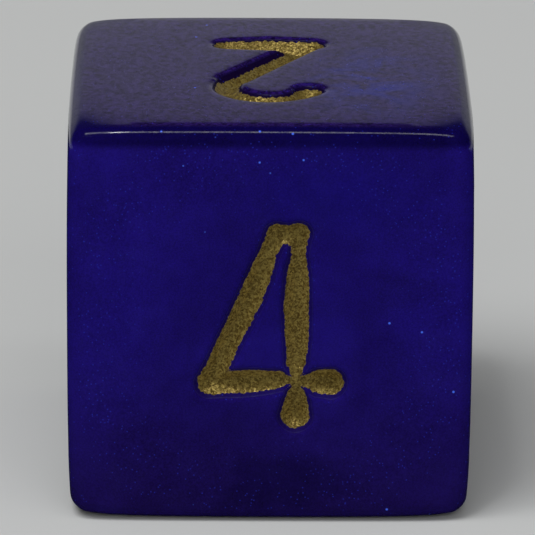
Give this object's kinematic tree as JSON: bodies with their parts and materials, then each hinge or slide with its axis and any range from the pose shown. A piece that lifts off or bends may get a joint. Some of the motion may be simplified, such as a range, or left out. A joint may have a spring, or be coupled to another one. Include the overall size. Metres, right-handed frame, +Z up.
{
  "type": "six-sided die",
  "caption": "Cube-shaped numbered die in translucent resin, with tumbled corners and a painted, engraved numeral on each face.",
  "frame": {"origin": "centre of the bottom face, which carries the numeral 5", "axes": "+Z up out of the face with the 2, -Y out of the face with the upright 4, +X out of the face with the 6"},
  "size_m": [0.0158, 0.016, 0.0161],
  "materials": {
    "resin": "gloss",
    "gold_paint": "metallic, fine-grained"
  },
  "bodies": {
    "root": {"die_body": "resin", "numeral_1_paint": "gold_paint", "numeral_2_paint": "gold_paint", "numeral_3_paint": "gold_paint", "numeral_4_paint": "gold_paint", "numeral_5_paint": "gold_paint", "numeral_6_paint": "gold_paint"}
  },
  "joints": []
}
